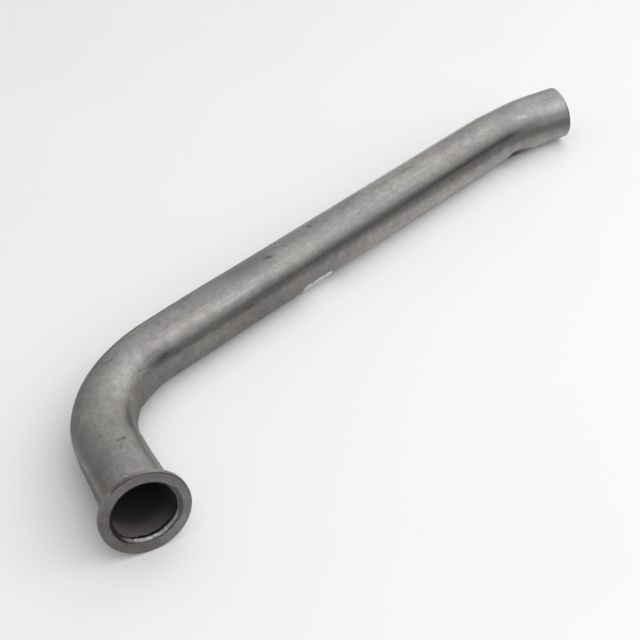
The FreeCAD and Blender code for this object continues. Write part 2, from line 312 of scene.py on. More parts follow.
class LabelSettings(bpy.types.PropertyGroup):
    """Size and colour of the bare label."""

    start: FloatProperty(name="Start", description="End of the elbow to the label",
                         default=142.0 * MM, unit="LENGTH", precision=4)
    length: FloatProperty(name="Length", description="Label along the run",
                          default=36.5 * MM, unit="LENGTH", precision=4)
    top: FloatProperty(name="Upper edge", description="Upper edge below the horizontal",
                       default=math.radians(19.0), subtype="ANGLE")
    wrap: FloatProperty(name="Wrap", description="Angle of the run that the label wraps",
                        default=math.radians(53.0), subtype="ANGLE")
    thickness: FloatProperty(name="Thickness", description="Thickness of the film",
                             default=0.15 * MM, unit="LENGTH", precision=5)
    film: FloatVectorProperty(name="Film", description="Colour of the silver-white film",
                              subtype="COLOR", min=0.0, max=1.0, default=(0.5, 0.505, 0.51))


class StageSettings(bpy.types.PropertyGroup):
    """Floor, light and camera."""

    floor_radius: FloatProperty(name="Floor radius", description="Radius of the pale floor",
                                default=8.0, unit="LENGTH")
    floor: FloatVectorProperty(name="Floor", description="Colour of the floor",
                               subtype="COLOR", min=0.0, max=1.0, default=(0.86, 0.86, 0.86))
    mirrored: FloatProperty(name="Mirrored floor", default=0.47, min=0.0, max=1.0,
                            description="Share of the floor's light that the steel mirrors")
    eye: FloatVectorProperty(name="Camera", description="Place of the camera",
                             subtype="TRANSLATION", default=(-0.62700, -0.66998, 0.66136))
    target: FloatVectorProperty(name="Target", description="Point that the camera looks at",
                                subtype="TRANSLATION", default=(-0.06549, -0.00979, 0.0254))
    roll: FloatProperty(name="Roll", description="Turn of the camera about its own line of sight",
                        default=math.radians(-7.18), subtype="ANGLE")
    lens: FloatProperty(name="Lens", description="Focal length in millimetres", default=73.54)
    key_power: FloatProperty(name="Key light", description="Power of the large soft light in watts",
                             default=5.0)
    floor_power: FloatProperty(name="Floor light", description="Power of the overhead light in watts",
                               default=16.0)
    front_power: FloatProperty(name="Front light", description="Power of the low front light in watts",
                               default=28.0)


class DownpipeSettings(bpy.types.PropertyGroup):
    """All the settings of the downpipe."""

    tube: PointerProperty(type=TubeSettings)
    ring: PointerProperty(type=RingSettings)
    weld: PointerProperty(type=WeldSettings)
    label: PointerProperty(type=LabelSettings)
    stage: PointerProperty(type=StageSettings)


def smooth(value, low, high):
    """Cubic step: 0 below low, 1 above high and 3 t^2 - 2 t^3 between them."""
    t = np.clip((value - low) / (high - low), 0.0, 1.0)
    return t * t * (3.0 - 2.0 * t)


def window(value, start, full, fade, gone):
    """Smooth step up from start to full, times a smooth step down from fade to gone."""
    return smooth(value, start, full) * (1.0 - smooth(value, fade, gone))


def bell(distance, reach):
    """Bell of height 1: exp(-(distance / reach)^2)."""
    return np.exp(-((distance / reach) ** 2))


def facing(angle, degrees, low, high):
    """Smooth step, from low to high, of the cosine of the turn away from a place in degrees."""
    return smooth(np.cos(angle - math.radians(degrees)), low, high)


def wander(angle, seed, waves, first=2):
    """Closed random wave: a sum of cosines of the angle with seeded phases, scaled to about 1."""
    rng = np.random.default_rng(seed)
    total = np.zeros_like(angle)
    for order in range(first, first + waves):
        total += rng.normal() * np.cos(order * angle + rng.uniform(0.0, math.tau))
    return total / math.sqrt(waves)


def centre_line(tube, s):
    """Centre and outward side of the tube's path at distance s from the flange face.

    The heading starts at the elbow's angle off the run and falls by distance / radius in each
    bend. A straight adds distance * (cos, sin) of its heading, and a bend adds
    radius * (sin before - sin after, cos after - cos before).
    """
    legs = (
        (tube.stub, 0.0),
        (tube.elbow_radius * tube.elbow_angle, tube.elbow_radius),
        (tube.run, 0.0),
        (tube.kick_radius * tube.kick_angle, tube.kick_radius),
        (tube.tail, 0.0),
    )
    along = np.zeros_like(s)
    across = np.zeros_like(s)
    heading = np.full_like(s, tube.elbow_angle)
    begin = 0.0
    entry = tube.elbow_angle
    for length, radius in legs:
        done = np.clip(s - begin, 0.0, length)
        if radius > 0.0:
            leaving = entry - done / radius
            along += radius * (math.sin(entry) - np.sin(leaving))
            across += radius * (np.cos(leaving) - math.cos(entry))
            heading -= done / radius
            entry -= length / radius
        else:
            along += done * math.cos(entry)
            across += done * math.sin(entry)
        begin += length
    centre = FACE + along[:, None] * RUN + across[:, None] * LEFT
    side = np.cos(heading)[:, None] * LEFT - np.sin(heading)[:, None] * RUN
    return centre, side


def elbow_out(tube):
    """Distance from the flange face to the end of the elbow."""
    return tube.stub + tube.elbow_radius * tube.elbow_angle


def cut_end(tube):
    """Distance from the flange face to the cut end of the tail."""
    return elbow_out(tube) + tube.run + tube.kick_radius * tube.kick_angle + tube.tail


def wall_offset(tube, s, angle):
    """Height of the outer wall over its drawn radius at distance s and angle round the tube.

    The end behind the flange swells by a smooth window along the stub. Each entry of WALL_FORMS
    adds height * exp(-(distance / reach)^2 - (turn / spread)^2). Low random waves keep the wall
    from being perfectly round. Nothing rises on the underside, where the pipe lies on the floor.
    """
    offset = tube.swelling * window(s, 6 * MM, 16 * MM, 28 * MM, 60 * MM)
    for place, about, reach, spread, height in WALL_FORMS:
        turn = np.degrees(np.angle(np.exp(1j * (angle - math.radians(about)))))
        offset = offset + height * MM * bell(s - place * MM, reach * MM) * bell(turn, spread)
    rng = np.random.default_rng(71)
    end = cut_end(tube)
    for turns in (1, 2, 3):
        for waves in (3.0, 7.0, 13.0):
            phase, shift = rng.uniform(0.0, math.tau, 2)
            ripple = np.cos(turns * angle + phase) * np.cos(math.tau * waves * s / end + shift)
            offset -= WAVE_HEIGHT * (1.0 + ripple)
    under = smooth(-np.sin(angle), 0.86, 0.97)
    return np.where(offset > 0.0, offset * (1.0 - under), offset)


def spaced(low, high, spans, fine, coarse):
    """Steps from low to high, fine inside the spans and coarse elsewhere.

    The steps share out the running sum of distance / spacing evenly.
    """
    probe = np.linspace(low, high, 40001)
    spacing = np.full_like(probe, coarse)
    for begin, end in spans:
        spacing[(probe > begin) & (probe < end)] = fine
    total = np.concatenate([[0.0], np.cumsum(np.diff(probe) / spacing[1:])])
    return np.interp(np.linspace(0.0, total[-1], round(total[-1]) + 1), total, probe)


def strokes(s, angle, radius, table):
    """Strength of a table of patches at each point of the wall.

    Each patch is a short line on the unrolled wall with a Gaussian edge:
    strength * exp(-(distance to the line / width)^2). The strongest patch wins.
    """
    total = np.zeros_like(s)
    for place, turn, length, slant, width, strength in table:
        ahead = s - place * MM
        about = (angle - math.radians(turn)) * radius
        lean = math.radians(slant)
        along = ahead * math.cos(lean) + about * math.sin(lean)
        across = about * math.cos(lean) - ahead * math.sin(lean)
        beyond = np.clip(np.abs(along) - 0.5 * length * MM, 0.0, None)
        total = np.maximum(total, strength * bell(np.hypot(beyond, across), width * MM))
    return total


def kick_pinch_shade(s, angle):
    """Painted shade in the pinch under the second bend at distance s and angle round the tube.

    Its upper edge is a curve on the unrolled wall: PINCH_EDGE + slope * (distance beyond
    PINCH_START)^2, steep before that point and shallow after it. It fades along the bend.
    """
    degrees = np.degrees(angle)
    beyond = s / MM - PINCH_START
    edge = PINCH_EDGE + np.where(beyond > 0.0, 0.02, 0.5) * beyond**2
    lens = window(degrees, edge, edge + 3.0, 245.0, 262.0) * (1.0 - 0.5 * smooth(beyond, 4.0, 26.0))
    return PINCH_SHADE_STRENGTH * lens * (beyond > -8.0) * (beyond < 42.0)


def flange_points(depth, radius, angle):
    """Points at a depth behind the sealing face, a radius and an angle about the flange's axis."""
    spoke = np.cos(angle)[..., None] * SIDE + np.sin(angle)[..., None] * UP
    return FACE + depth[..., None] * GAS + radius[..., None] * spoke


def arch(t, first, bend, last):
    """Quadratic curve from first to last: (1 - t)^2 first + 2 t (1 - t) bend + t^2 last."""
    return (1 - t) ** 2 * first + 2 * t * (1 - t) * bend + t**2 * last


def grid_mesh(name, points, closed=True):
    """Mesh of a grid of points. A closed grid's last row and column run on into its first."""
    rows, columns = points.shape[:2]
    index = np.arange(rows * columns).reshape(rows, columns)
    if closed:
        index = np.pad(index, (0, 1), mode="wrap")
    corners = [index[:-1, :-1], index[:-1, 1:], index[1:, 1:], index[1:, :-1]]
    quads = np.stack(corners, axis=-1).reshape(-1, 4)
    mesh = bpy.data.meshes.new(name)
    mesh.from_pydata(points.reshape(-1, 3), [], quads)
    mesh.update()
    return mesh


def write_vector(mesh, name, *parts):
    """Store a vector for each vertex, from its three parts."""
    layer = mesh.attributes.new(name, "FLOAT_VECTOR", "POINT")
    values = np.stack(np.broadcast_arrays(*parts), axis=-1)
    layer.data.foreach_set("vector", values.astype(np.float32).ravel())


def write_masks(mesh, name, *masks):
    """Store three masks for each vertex as one colour."""
    layer = mesh.attributes.new(name, "FLOAT_COLOR", "POINT")
    values = np.stack(np.broadcast_arrays(*masks, 1.0), axis=-1)
    layer.data.foreach_set("color", values.astype(np.float32).ravel())


def add_piece(mesh, material, node, crease=35.0):
    """Link a mesh as the piece that stands for a solid and rides with it."""
    mesh.polygons.foreach_set("use_smooth", np.ones(len(mesh.polygons), dtype=bool))
    mesh.set_sharp_from_angle(angle=math.radians(crease))
    mesh.materials.append(material)
    piece = bpy.data.objects.new(mesh.name, mesh)
    bpy.context.scene.collection.objects.link(piece)
    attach(piece, "root")
    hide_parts(node)
    return piece


def feed(tree, value, socket):
    """Link a socket to another, or set its value."""
    if isinstance(value, bpy.types.NodeSocket):
        tree.links.new(value, socket)
    elif socket.type == "RGBA":
        socket.default_value = (*value, 1.0)
    else:
        socket.default_value = value


def dress(tree, node, **values):
    """Set or link a node's inputs by name, with an underscore for each space."""
    for label, value in values.items():
        feed(tree, value, node.inputs[label.replace("_", " ")])


def calc(tree, operation, first, second=0.0, clamp=False):
    """Math node."""
    node = tree.nodes.new("ShaderNodeMath")
    node.operation = operation
    node.use_clamp = clamp
    feed(tree, first, node.inputs[0])
    feed(tree, second, node.inputs[1])
    return node.outputs[0]


def product(tree, first, *factors):
    """Product of all the factors."""
    for factor in factors:
        first = calc(tree, "MULTIPLY", first, factor)
    return first


def weighted(tree, base, *terms):
    """Base plus value * amount of every term."""
    for value, amount in terms:
        base = calc(tree, "ADD", base, product(tree, value, amount))
    return base


def dot(tree, vector, direction):
    """Dot product of a vector and a fixed direction."""
    node = tree.nodes.new("ShaderNodeVectorMath")
    node.operation = "DOT_PRODUCT"
    feed(tree, vector, node.inputs[0])
    feed(tree, direction, node.inputs[1])
    return node.outputs["Value"]


def remap(tree, value, low, high, to_low=0.0, to_high=1.0):
    """Smooth map of a value from one range to another."""
    node = tree.nodes.new("ShaderNodeMapRange")
    node.interpolation_type = "SMOOTHSTEP"
    dress(tree, node, Value=value, From_Min=low, From_Max=high, To_Min=to_low, To_Max=to_high)
    return node.outputs["Result"]


def blend(tree, factor, first, second, mode="MIX"):
    """Colour mix node."""
    node = tree.nodes.new("ShaderNodeMix")
    node.data_type = "RGBA"
    node.blend_type = mode
    feed(tree, factor, node.inputs[0])
    feed(tree, first, node.inputs[6])
    feed(tree, second, node.inputs[7])
    return node.outputs[2]


def shaded(tree, colour, *layers):
    """Colour times base + value * amount of every layer."""
    for base, value, amount in layers:
        colour = blend(tree, 1.0, colour, weighted(tree, base, (value, amount)), "MULTIPLY")
    return colour


def painted(tree, colour, *coats):
    """Colour under coats of paint, each laid on through its own mask."""
    for mask, coat in coats:
        colour = blend(tree, mask, colour, coat)
    return colour


def noise(tree, place, scale, detail=3.0, roughness=0.55, distortion=0.0):
    """Noise texture's value on a vector."""
    node = tree.nodes.new("ShaderNodeTexNoise")
    dress(tree, node, Vector=place, Scale=scale, Detail=detail, Roughness=roughness,
          Distortion=distortion)
    return node.outputs["Fac"]


def stored(tree, name, output="Vector"):
    """Attribute that the piece's own mesh stores."""
    node = tree.nodes.new("ShaderNodeAttribute")
    node.attribute_name = name
    return node.outputs[output]


def stored_masks(tree, name):
    """The three masks of a colour that the piece's own mesh stores."""
    node = tree.nodes.new("ShaderNodeSeparateColor")
    feed(tree, stored(tree, name, "Color"), node.inputs["Color"])
    return node.outputs


def new_group(name, scales, outputs):
    """Empty shader node group that takes a place and some scales and gives out values."""
    group = bpy.data.node_groups.new(name, "ShaderNodeTree")
    group.interface.new_socket("Place", in_out="INPUT", socket_type="NodeSocketVector")
    for label, scale in scales:
        socket = group.interface.new_socket(label, in_out="INPUT", socket_type="NodeSocketFloat")
        socket.default_value = scale
    for label in outputs:
        group.interface.new_socket(label, in_out="OUTPUT", socket_type="NodeSocketFloat")
    entry = group.nodes.new("NodeGroupInput")
    leave = group.nodes.new("NodeGroupOutput")
    return group, entry.outputs, leave.inputs


def steel_grain_group():
    """Clouds, blotches and fine speckle of handled steel, each from 0 to 1."""
    if "steel_grain" in bpy.data.node_groups:
        return bpy.data.node_groups["steel_grain"]
    grains = (
        ("Cloud", 24.0, (4.0, 0.6, 0.4), (0.34, 0.66)),
        ("Blotch", 110.0, (4.0, 0.6, 0.6), (0.36, 0.68)),
        ("Speckle", 420.0, (3.0, 0.65, 0.0), (0.3, 0.7)),
    )
    scales = [(label + " Scale", scale) for label, scale, *_ in grains]
    group, entry, leave = new_group("steel_grain", scales, [label for label, *_ in grains])
    for label, _, texture, span in grains:
        grain = noise(group, entry["Place"], entry[label + " Scale"], *texture)
        feed(group, remap(group, grain, *span), leave[label])
    return group


def tool_line_group():
    """Fine and broad tool lines, from 0 to 1, on a vector already stretched along them."""
    if "tool_lines" in bpy.data.node_groups:
        return bpy.data.node_groups["tool_lines"]
    group, entry, leave = new_group("tool_lines", (), ("Lines",))
    fine = remap(group, noise(group, entry["Place"], 1.0, 2.0, 0.5), 0.3, 0.7)
    broad = remap(group, noise(group, entry["Place"], 0.31, 2.0, 0.5), 0.3, 0.7)
    feed(group, weighted(group, 0.0, (fine, 0.6), (broad, 0.4)), leave["Lines"])
    return group


def use_group(tree, group, **values):
    """Place a node group and set or link its inputs."""
    node = tree.nodes.new("ShaderNodeGroup")
    node.node_tree = group
    dress(tree, node, **values)
    return node.outputs


def tool_lines(tree, place, scale):
    """Tool lines on a vector scaled by a different amount along each axis."""
    node = tree.nodes.new("ShaderNodeMapping")
    dress(tree, node, Vector=place, Scale=scale)
    return use_group(tree, tool_line_group(), Place=node.outputs["Vector"])["Lines"]


def new_material(name):
    """Material with its tree and its Principled shader."""
    material = bpy.data.materials.new(name)
    material.use_nodes = True
    tree = material.node_tree
    shader = next(node for node in tree.nodes if node.type == "BSDF_PRINCIPLED")
    return material, tree, shader


def roughen(tree, shader, height, strength, distance):
    """Bump from a height into the shader's normal."""
    bump = tree.nodes.new("ShaderNodeBump")
    dress(tree, bump, Strength=strength, Distance=distance, Height=height)
    feed(tree, bump.outputs["Normal"], shader.inputs["Normal"])


def drawn_steel(tube):
    """Satin drawn tube: lengthwise lines, cloudy dull patches, bright patches with painted highlights
    among them, scratches, brown staining, painted shade in the pinch under the second bend and a sooty
    inside.
    """
    material, tree, shader = new_material("drawn_steel")
    place = stored(tree, "straight")
    cloud, blotch, speckle = use_group(tree, steel_grain_group(), Place=place)
    lines = tool_lines(tree, place, DRAWN_LINES)
    dull, bright, brown = stored_masks(tree, "stains_and_highlights")
    scratch, soot, pinch_shade = stored_masks(tree, "sides")
    dark = calc(tree, "MULTIPLY", scratch, weighted(tree, 0.45, (speckle, 0.7)), clamp=True)
    warm = remap(tree, noise(tree, place, 15.0, 3.0, 0.6, 0.5), 0.46, 0.7)
    mouth = product(tree, dull, weighted(tree, 0.75, (blotch, 0.25)))

    colour = blend(tree, cloud, tube.dull, tube.steel)
    colour = blend(tree, product(tree, warm, 0.35), colour, (0.45, 0.425, 0.395))
    colour = shaded(tree, colour, (0.9, blotch, 0.19), (0.91, speckle, 0.18), (0.915, lines, 0.17))
    colour = painted(
        tree, colour,
        (dull, (0.25, 0.24, 0.245)),
        # Bright patches, some of them painted highlights.
        (bright, (0.72, 0.7, 0.67)),
        (brown, (0.33, 0.26, 0.2)),
        # Painted shade: the pinch under the second bend, near black.
        (pinch_shade, (0.05, 0.049, 0.047)),
        (dark, (0.07, 0.066, 0.064)),
        (soot, blend(tree, mouth, tube.soot, (0.17, 0.152, 0.147))),
    )
    worn = calc(tree, "ADD", dark, pinch_shade)
    gloss = weighted(tree, 0.27, (blotch, -0.03), (lines, 0.05), (worn, 0.25), (soot, 0.35))
    dress(tree, shader, Base_Color=colour, Roughness=gloss, Metallic=weighted(tree, 1.0, (soot, -0.8)),
          Specular_Tint=(0.85, 0.85, 0.85))
    roughen(tree, shader, weighted(tree, lines, (speckle, 0.5), (dark, -0.8)), 0.25, 0.08 * MM)
    return material


def turned_steel(ring):
    """Turned ring: concentric tool lines, lilac-grey face, a darker brown band round the top of the
    rim, painted shade over the bore, a painted shadow round it and a painted dark reflection along the
    front edge.
    """
    material, tree, shader = new_material("turned_steel")
    place = stored(tree, "turned")
    cloud, blotch, speckle = use_group(tree, steel_grain_group(), Place=place, Cloud_Scale=60.0,
                                       Blotch_Scale=220.0, Speckle_Scale=900.0)
    lines = tool_lines(tree, place, TURNED_LINES)
    # The third mask holds painted shade as well as the dark chips.
    brown, worn, pits_and_shade = stored_masks(tree, "tarnish")
    colour = shaded(tree, ring.steel, (0.86, cloud, 0.2), (0.9, lines, 0.2), (0.93, speckle, 0.12))
    colour = painted(
        tree, colour,
        (product(tree, brown, weighted(tree, 0.55, (blotch, 0.45))), ring.tarnish),
        (worn, (0.5, 0.48, 0.46)),
        # Dark chips, painted shade over the bore, a painted shadow round it and a painted dark
        # reflection along the front edge.
        (pits_and_shade, (0.055, 0.042, 0.036)),
    )
    gloss = weighted(tree, 0.4, (lines, 0.08), (brown, 0.12), (pits_and_shade, 0.2))
    dress(tree, shader, Base_Color=colour, Roughness=gloss, Metallic=1.0)
    roughen(tree, shader, weighted(tree, lines, (blotch, 0.5)), 0.4, 0.08 * MM)
    return material


def weld_metal(weld):
    """Bright rippled weld with burnt toes and dark valleys between its ripples; painted shade makes its
    upper half duller and paints the bead round the top as dark as the toes.
    """
    material, tree, shader = new_material("weld_metal")
    _, blotch, speckle = use_group(tree, steel_grain_group(), Place=stored(tree, "laid"),
                                   Blotch_Scale=420.0, Speckle_Scale=1500.0)
    burnt_and_shaded, valley, dull = stored_masks(tree, "scorch_and_shade")
    # Painted shade: the dull coat on the upper half, and the toes' dark over the whole bead round the
    # top.
    colour = painted(
        tree, shaded(tree, weld.metal, (0.75, blotch, 0.35)),
        (product(tree, valley, 0.45), (0.2, 0.19, 0.175)),
        (product(tree, dull, 0.8), (0.2, 0.205, 0.195)),
        (burnt_and_shaded, weld.toes),
    )
    gloss = weighted(tree, 0.28, (blotch, 0.12), (burnt_and_shaded, 0.3))
    dress(tree, shader, Base_Color=colour, Roughness=gloss, Metallic=1.0)
    roughen(tree, shader, calc(tree, "ADD", blotch, speckle), 0.35, 0.12 * MM)
    return material


def label_film(label):
    """Silver-white film: faint crinkles, grey dirt towards its ends and a pale torn edge."""
    material, tree, shader = new_material("label_film")
    cloud, blotch, _ = use_group(tree, steel_grain_group(), Place=stored(tree, "laid"),
                                 Cloud_Scale=110.0, Blotch_Scale=420.0)
    edge, dirt, _ = stored_masks(tree, "wear")
    colour = painted(
        tree, label.film,
        (product(tree, cloud, 0.4), (0.6, 0.6, 0.59)),
        (product(tree, dirt, blotch), (0.36, 0.35, 0.33)),
        (product(tree, edge, 0.7), (0.88, 0.88, 0.87)),
    )
    dress(tree, shader, Base_Color=colour, Roughness=weighted(tree, 0.36, (blotch, 0.2)))
    roughen(tree, shader, calc(tree, "ADD", cloud, blotch), 0.3, 0.15 * MM)
    return material


def pale_floor(stage):
    """Plain matt floor with the faintest unevenness, and the duller sheet that the steel mirrors.

    The sheet grows paler along the run, fades in front of the pipe, which leaves the dark band
    along the run, and is a little darker well behind the pipe and close behind the run. A pale
    strip under the run is painted light that lifts the run's contact shadow as the steel mirrors
    it. Only mirrored rays see the sheet.
    """
    material, tree, shader = new_material("pale_floor")
    place = tree.nodes.new("ShaderNodeTexCoord").outputs["Object"]
    tone = remap(tree, noise(tree, place, 3.0, 2.0), 0.3, 0.7, 0.985, 1.0)
    x = dot(tree, place, (1.0, 0.0, 0.0))
    y = dot(tree, place, (0.0, 1.0, 0.0))
    ahead = dot(tree, place, FLOOR_FRONT)
    behind = product(tree, remap(tree, y, 0.085, 0.13), remap(tree, y, 0.25, 0.5, 0.32, 0.0),
                     remap(tree, x, -0.22, -0.1))
    sheet = product(
        tree,
        remap(tree, x, -0.1, 0.38, 0.95 * stage.mirrored, 2.9 * stage.mirrored),
        remap(tree, ahead, -0.02, 0.16, 1.0, 0.18),
        remap(tree, ahead, -0.2, -0.1, 0.78, 1.0),
        calc(tree, "SUBTRACT", 1.0, behind),
    )
    # Painted light: a pale strip along the run's foot lifts its contact shadow in the mirrored floor.
    off_run = calc(tree, "ABSOLUTE", calc(tree, "SUBTRACT", y, RUN_Y))
    strip = product(tree, remap(tree, x, -0.12, 0.25, 0.2, 0.7),
                    remap(tree, off_run, 0.01, 0.034, 1.0, 0.0))
    sheet = calc(tree, "ADD", sheet, strip, clamp=True)
    mirrored = tree.nodes.new("ShaderNodeLightPath").outputs["Is Glossy Ray"]
    tone = product(tree, tone, weighted(tree, calc(tree, "SUBTRACT", 1.0, mirrored), (mirrored, sheet)))
    dress(tree, shader, Base_Color=blend(tree, 1.0, stage.floor, tone, "MULTIPLY"), Roughness=0.9,
          Specular_IOR_Level=0.1)
    return material


class DOWNPIPE_OT_tube(bpy.types.Operator):
    """Sweep the tube along its two bends, with its dents, staining, painted highlights, the painted
    shade of its pinch and its sooty inside
    """

    bl_idname = "downpipe.tube"
    bl_label = "Bent tube"

    def execute(self, context):
        tube = context.scene.downpipe.tube
        end = cut_end(tube)
        inside = tube.outside - tube.wall
        around = np.radians(spaced(-90.0, 270.0, (FINE_TURNS,), *TURN_STEPS))[:-1]
        marked = [((place - 0.5 * length - MARK_MARGIN) * MM, (place + 0.5 * length + MARK_MARGIN) * MM)
                  for place, _, length, *_ in SCRATCHES]
        outer_s = spaced(tube.recess, end - tube.edge_break, marked, *LENGTH_STEPS)
        inner_s = np.linspace(end - INNER_BREAK, tube.recess, 110)
        s = np.concatenate([outer_s, [end, end], inner_s])
        rows = (len(outer_s), 1, 1, len(inner_s))
        cut_r = (tube.outside - tube.edge_break, inside + INNER_BREAK)
        radius = np.repeat([tube.outside, *cut_r, inside], rows)[:, None]
        outer = np.repeat([1.0, 0.0, 0.0, 0.0], rows)[:, None]
        soot = np.repeat([0.0, 0.0, 0.1, 1.0], rows)[:, None]

        grid_s, grid_a = np.meshgrid(s, around, indexing="ij")
        reach = radius + wall_offset(tube, grid_s, grid_a) * outer
        centre, side = centre_line(tube, s)
        spoke = np.cos(grid_a)[..., None] * side[:, None, :] + np.sin(grid_a)[..., None] * UP
        mesh = grid_mesh("tube_wall", centre[:, None, :] + reach[..., None] * spoke)
        write_vector(mesh, "straight", grid_s, radius * np.cos(grid_a), radius * np.sin(grid_a))

        # Some of the bright patches are painted highlights.
        tables = (SCRATCHES, DULL_PATCHES, BRIGHT_PATCHES, BROWN_STAINS)
        scratch, dull, bright, brown = (strokes(grid_s, grid_a, tube.outside, table) * outer
                                        for table in tables)
        # The cut end is bare metal, and the lower inside of the mouth is stained.
        bright = np.where(grid_s == end, 0.8, bright)
        mouth = (1.0 - smooth(grid_s, 12 * MM, 27 * MM)) * facing(grid_a, 288.0, 0.2, 0.8)
        dull = np.maximum(dull, mouth * (1.0 - outer))
        write_masks(mesh, "stains_and_highlights", dull, bright, brown)
        # The third mask is the painted shade of the pinch under the second bend.
        write_masks(mesh, "sides", scratch, soot, kick_pinch_shade(grid_s, grid_a) * outer)
        add_piece(mesh, drawn_steel(tube), "downpipe_tube")
        return {"FINISHED"}


class DOWNPIPE_OT_ring(bpy.types.Operator):
    """Turn the flange ring from its section, with worn edges, a brown rim, painted shade round its bore
    and a painted dark line along its front edge
    """

    bl_idname = "downpipe.ring"
    bl_label = "Flange ring"

    def execute(self, context):
        ring = context.scene.downpipe.ring
        quarter = np.linspace(0.0, math.pi / 2.0, 9)
        round_r = ring.rim - ring.front_round * (1.0 - np.sin(quarter))
        round_y = ring.front_round * (1.0 - np.cos(quarter))
        face_r = np.linspace(ring.bore + ring.bore_break, ring.rim - ring.front_round, 34)[:-1]
        rim_y = np.linspace(ring.front_round, ring.thickness - ring.back_break, 12)[1:]
        back_r = np.linspace(ring.rim - ring.back_break, ring.bore, 14)
        bore_y = np.linspace(ring.thickness, ring.bore_break, 10)[1:]
        radius = np.concatenate([face_r, round_r, np.full_like(rim_y, ring.rim), back_r,
                                 np.full_like(bore_y, ring.bore)])
        depth = np.concatenate([np.zeros_like(face_r), round_y, rim_y,
                                np.full_like(back_r, ring.thickness), bore_y])
        rows = [len(part) for part in (face_r, quarter, rim_y, back_r, bore_y)]
        rounded = slice(rows[0], rows[0] + rows[1])
        is_face = np.repeat([1.0, 0.0, 0.0, 0.0, 0.0], rows)[:, None]
        is_face[rounded, 0] = np.cos(quarter)
        is_rim = np.repeat([0.0, 0.0, 1.0, 0.7, 0.0], rows)[:, None]
        is_rim[rounded, 0] = np.sin(quarter)
        is_bore = np.repeat([0.0, 0.0, 0.0, 0.0, 1.0], rows)[:, None]
        is_bore[0] = 0.6
        travel = np.concatenate([[0.0], np.cumsum(np.hypot(np.diff(radius), np.diff(depth)))])[:, None]
        from_edge = travel - travel[rows[0] + rows[1] // 2]

        around = np.linspace(0.0, math.tau, 256, endpoint=False)
        grid_r, grid_a = np.meshgrid(radius, around, indexing="ij")
        grid_y = np.repeat(depth[:, None], len(around), axis=1)
        # Chips at the bore's edge, nicks in the front edge and a face that is not quite flat.
        bore_edge = bell(grid_r - ring.bore, 0.9 * MM) * bell(grid_y, 0.8 * MM)
        ragged = facing(grid_a, 348.0, 0.8, 0.97)
        chips = np.clip(wander(grid_a, 9, 26, 24), 0.0, 1.5) * ragged * bore_edge
        nicks = np.clip(wander(grid_a, 17, 30, 18) - 0.9, 0.0, 1.0)
        edge_nick = bell(from_edge, 1.2 * MM)
        grid_r = grid_r - 0.22 * MM * nicks * edge_nick
        grid_y += 0.3 * MM * chips
        grid_y += 0.012 * MM * (1.0 + wander(grid_a, 23, 4)) * is_face
        mesh = grid_mesh("flange_collar", flange_points(grid_y, grid_r, grid_a))
        write_vector(mesh, "turned", travel, ring.rim * np.cos(grid_a), ring.rim * np.sin(grid_a))

        degrees = np.degrees(grid_a)
        left = is_face * facing(grid_a, 330.0, 0.0, 0.7)
        # A darker brown band round the top of the rim, and a brown left side of the face.
        brown = np.maximum(is_rim * (0.15 + 0.85 * window(degrees, *BROWN_RIM)),
                           left * (0.55 + 0.3 * bell(grid_r - ring.bore, 1.5 * MM)))
        top = window(degrees, *DARK_EDGE_LINE)
        worn = edge_nick * np.clip(0.2 + 0.3 * wander(grid_a, 31, 12, 6), 0.0, 0.5) * (1.0 - top)
        # Painted dark reflection: a thin dark line along the front edge over the top.
        line = bell(from_edge, 0.45 * MM) * top
        # Painted shadow: a dark ring on the face, 1.2 mm out from the bore.
        crevice_shade = is_face * bell(grid_r - ring.bore - 1.2 * MM, 0.45 * MM) * window(degrees, *CREVICE_SHADE)
        # Painted shade over the bore and its chamfer, lighter where the bore is lit.
        bore = is_bore * (1.0 - 0.6 * window(degrees, *LIT_BORE))
        pits_and_shade = np.clip(np.maximum.reduce([chips, bore, 0.7 * line, 0.85 * crevice_shade]), 0.0, 1.0)
        # Besides the brown and the wear, these masks hold painted shade, a painted shadow and a painted
        # dark reflection.
        write_masks(mesh, "tarnish", brown, worn, pits_and_shade)
        add_piece(mesh, turned_steel(ring), "flange_ring")
        return {"FINISHED"}


